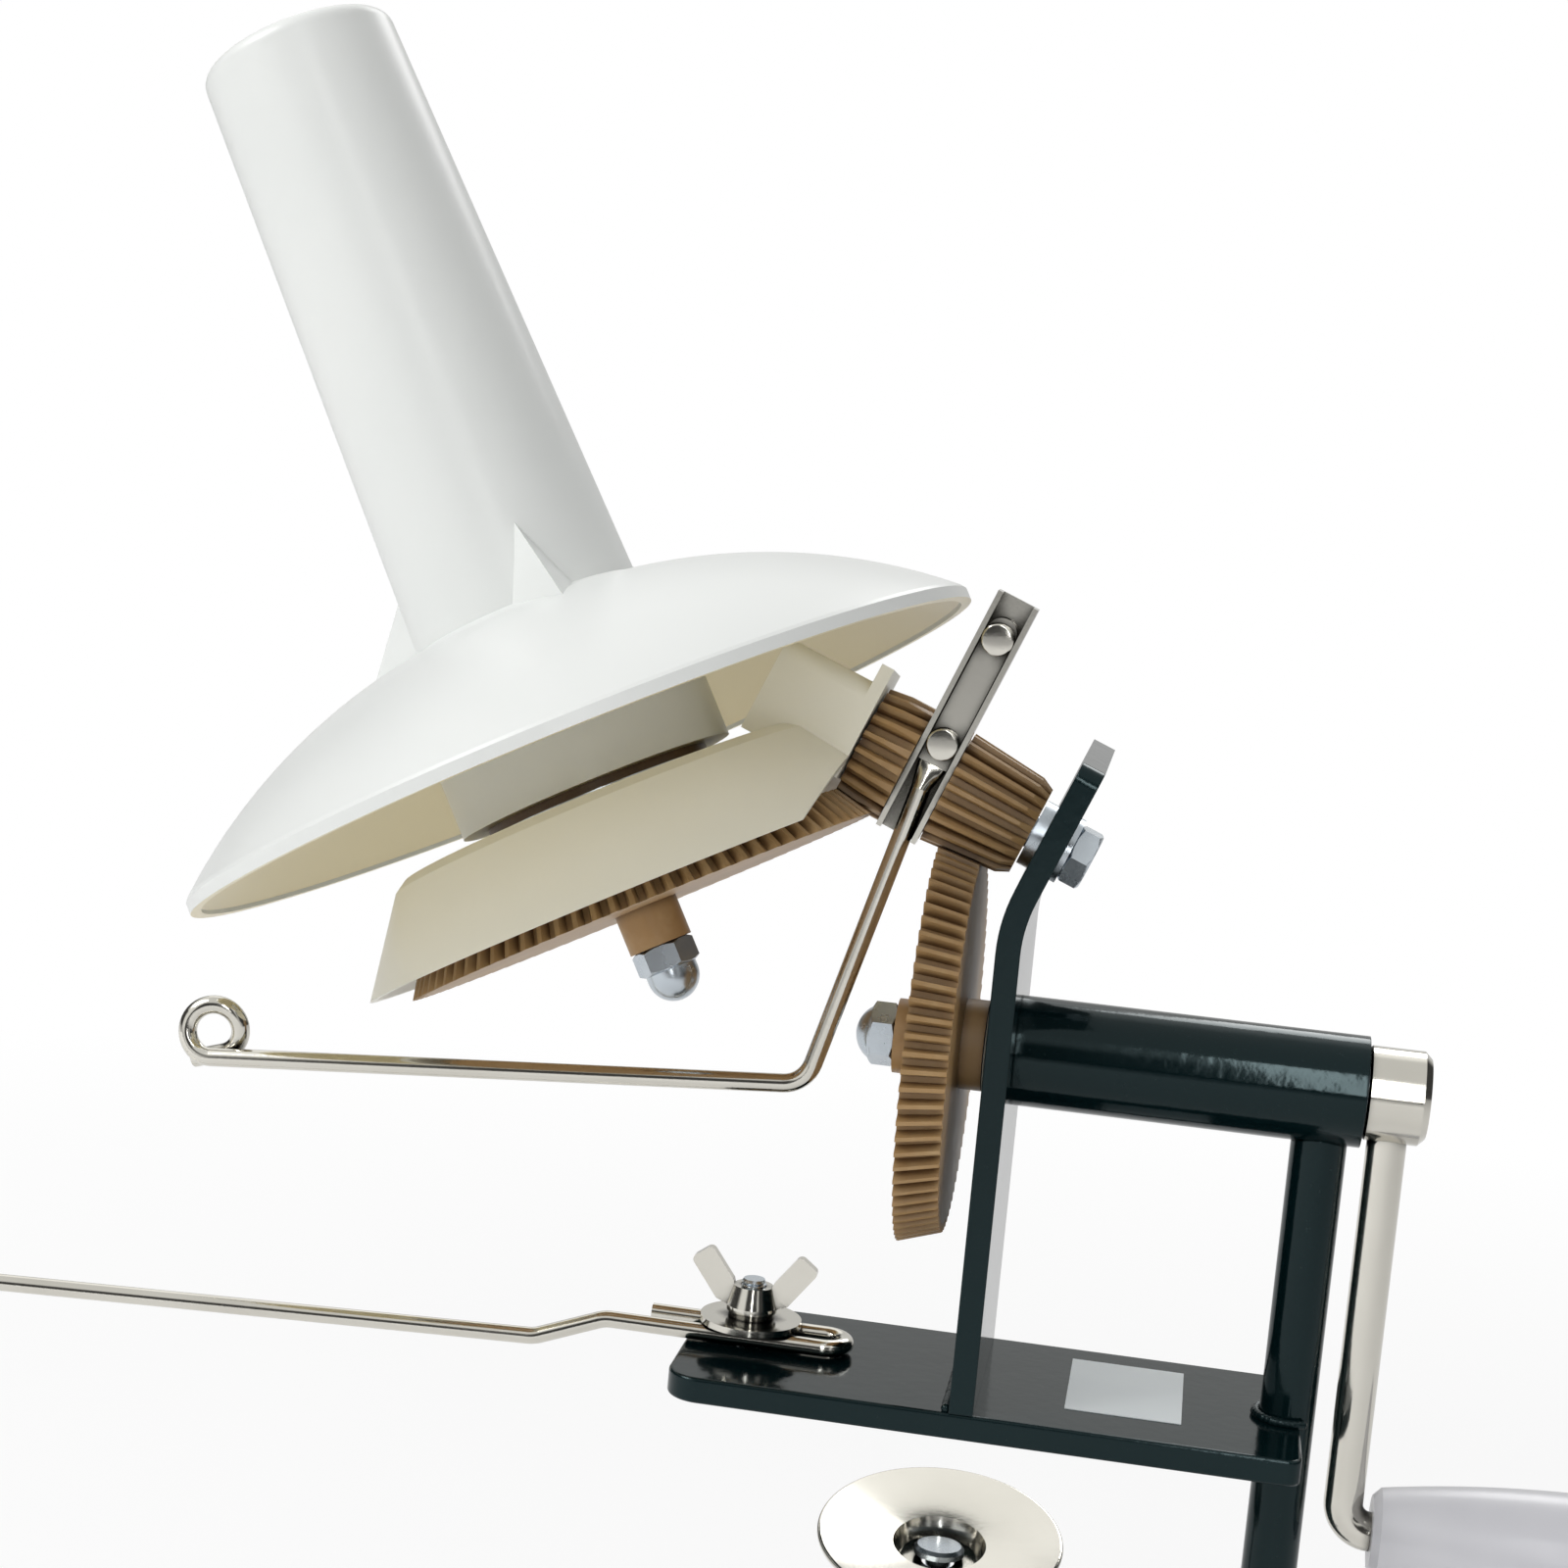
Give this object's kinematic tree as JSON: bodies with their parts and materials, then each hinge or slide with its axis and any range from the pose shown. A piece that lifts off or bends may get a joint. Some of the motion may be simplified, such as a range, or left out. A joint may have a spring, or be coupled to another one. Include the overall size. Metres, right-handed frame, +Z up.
{
  "type": "yarn cone winder",
  "caption": "Table-clamped yarn winder: a crank and big gear spin a twin pinion with a wire flyer, which turns a slanted bobbin; a guide arm leads the yarn.",
  "frame": {"origin": "underside of the base plate, on the axis of the clamp screw", "axes": "+X towards the crank, +Y away from the side that the winding arm hangs on, +Z up"},
  "size_m": [0.4787, 0.1921, 0.4464],
  "materials": {
    "dark_paint": "gloss",
    "nickel": "polished",
    "zinc": "satin",
    "brown_nylon": "satin",
    "bush_nylon": "satin",
    "white_plastic": "gloss",
    "ivory_plastic": "satin",
    "grip_plastic": "satin",
    "cap_plastic": "satin",
    "label_paper": "satin"
  },
  "bodies": {
    "frame": {"base_plate": "dark_paint", "upright_bar": "dark_paint", "bearing_sleeve": "dark_paint", "clamp_post": "dark_paint", "screw_boss": "dark_paint", "post_weld": "dark_paint", "foot_weld": "dark_paint", "flanged_bush": "bush_nylon", "outer_bush": "bush_nylon", "axle_bolt": "zinc", "axle_washer": "zinc", "axle_spacer": "zinc", "bracket_nut": "zinc", "head_bracket": "ivory_plastic", "wear_ring": "zinc", "guide_stud": "zinc", "blank_label": "label_paper"},
    "crank": {"crank_shaft": "zinc", "crank_collar": "nickel", "crank_rod": "nickel", "grip_washer": "zinc", "drive_gear": "brown_nylon", "drive_gear_nut": "zinc"},
    "grip": {"hand_grip": "grip_plastic"},
    "flyer": {"twin_pinion": "brown_nylon", "flyer_channel": "nickel", "flyer_wire": "nickel", "lower_flyer_screw": "nickel", "upper_flyer_screw": "nickel", "flyer_nut": "nickel"},
    "head": {"bobbin_tube": "white_plastic", "bobbin_flange": "white_plastic", "bobbin_hub": "white_plastic", "disc_gear": "brown_nylon", "spindle_bolt": "zinc", "spindle_washer": "zinc", "spindle_nut": "zinc"},
    "arm_washer": {"guide_washer": "nickel"},
    "guide_arm": {"guide_wire": "nickel"},
    "lock": {"lock_ring": "nickel"},
    "wing": {"wing_nut": "nickel"},
    "pad": {"clamp_pad": "nickel"},
    "screw": {"clamp_screw": "zinc"},
    "handle": {"clamp_handle": "zinc", "near_cap": "cap_plastic", "far_cap": "cap_plastic"}
  },
  "joints": [
    {"name": "crank_spin", "type": "hinge", "parent": "frame", "child": "crank", "pos_m": [0.04, 0, 0.084], "axis": [1, 0, 0], "continuous": true},
    {"name": "grip_spin", "type": "hinge", "parent": "crank", "child": "grip", "pos_m": [0.138, 0, -0.0184], "axis": [1, 0, 0], "continuous": true},
    {"name": "flyer_spin", "type": "hinge", "parent": "frame", "child": "flyer", "pos_m": [-0.02129, 0, 0.14525], "axis": [0.9272, 0, -0.3746], "continuous": true},
    {"name": "head_spin", "type": "hinge", "parent": "frame", "child": "head", "pos_m": [-0.09397, -0.00575, 0.13045], "axis": [-0.4795, 0.0885, 0.8731], "continuous": true},
    {"name": "guide_swing", "type": "hinge", "parent": "frame", "child": "arm_washer", "pos_m": [-0.05, 0.002, 0.008], "axis": [0, 0, 1], "range_deg": [-40, 40]},
    {"name": "guide_slide", "type": "slide", "parent": "arm_washer", "child": "guide_arm", "axis": [1, 0, 0], "range_m": [-0.014, 0.01]},
    {"name": "nut_lift", "type": "slide", "parent": "frame", "child": "lock", "axis": [0, 0, 1], "range_m": [0, 0.002]},
    {"name": "nut_turn", "type": "hinge", "parent": "lock", "child": "wing", "pos_m": [-0.05, 0.002, 0.017], "axis": [0, 0, 1], "range_deg": [0, 720]},
    {"name": "clamp_travel", "type": "slide", "parent": "frame", "child": "pad", "axis": [0, 0, 1], "range_m": [-0.028, 0.024]},
    {"name": "clamp_turn", "type": "hinge", "parent": "pad", "child": "screw", "pos_m": [0, 0, -0.084], "axis": [0, 0, 1], "range_deg": [-6720, 5760]},
    {"name": "handle_slide", "type": "slide", "parent": "screw", "child": "handle", "axis": [0, 1, 0], "range_m": [-0.026, 0.026]}
  ],
  "couplings": [
    {"joint": "flyer_spin", "follows": "crank_spin", "ratio": -3.7},
    {"joint": "head_spin", "follows": "crank_spin", "ratio": -0.91358},
    {"joint": "nut_turn", "follows": "nut_lift", "rad_per_m": 6283.2},
    {"joint": "clamp_turn", "follows": "clamp_travel", "rad_per_m": 4188.8}
  ]
}
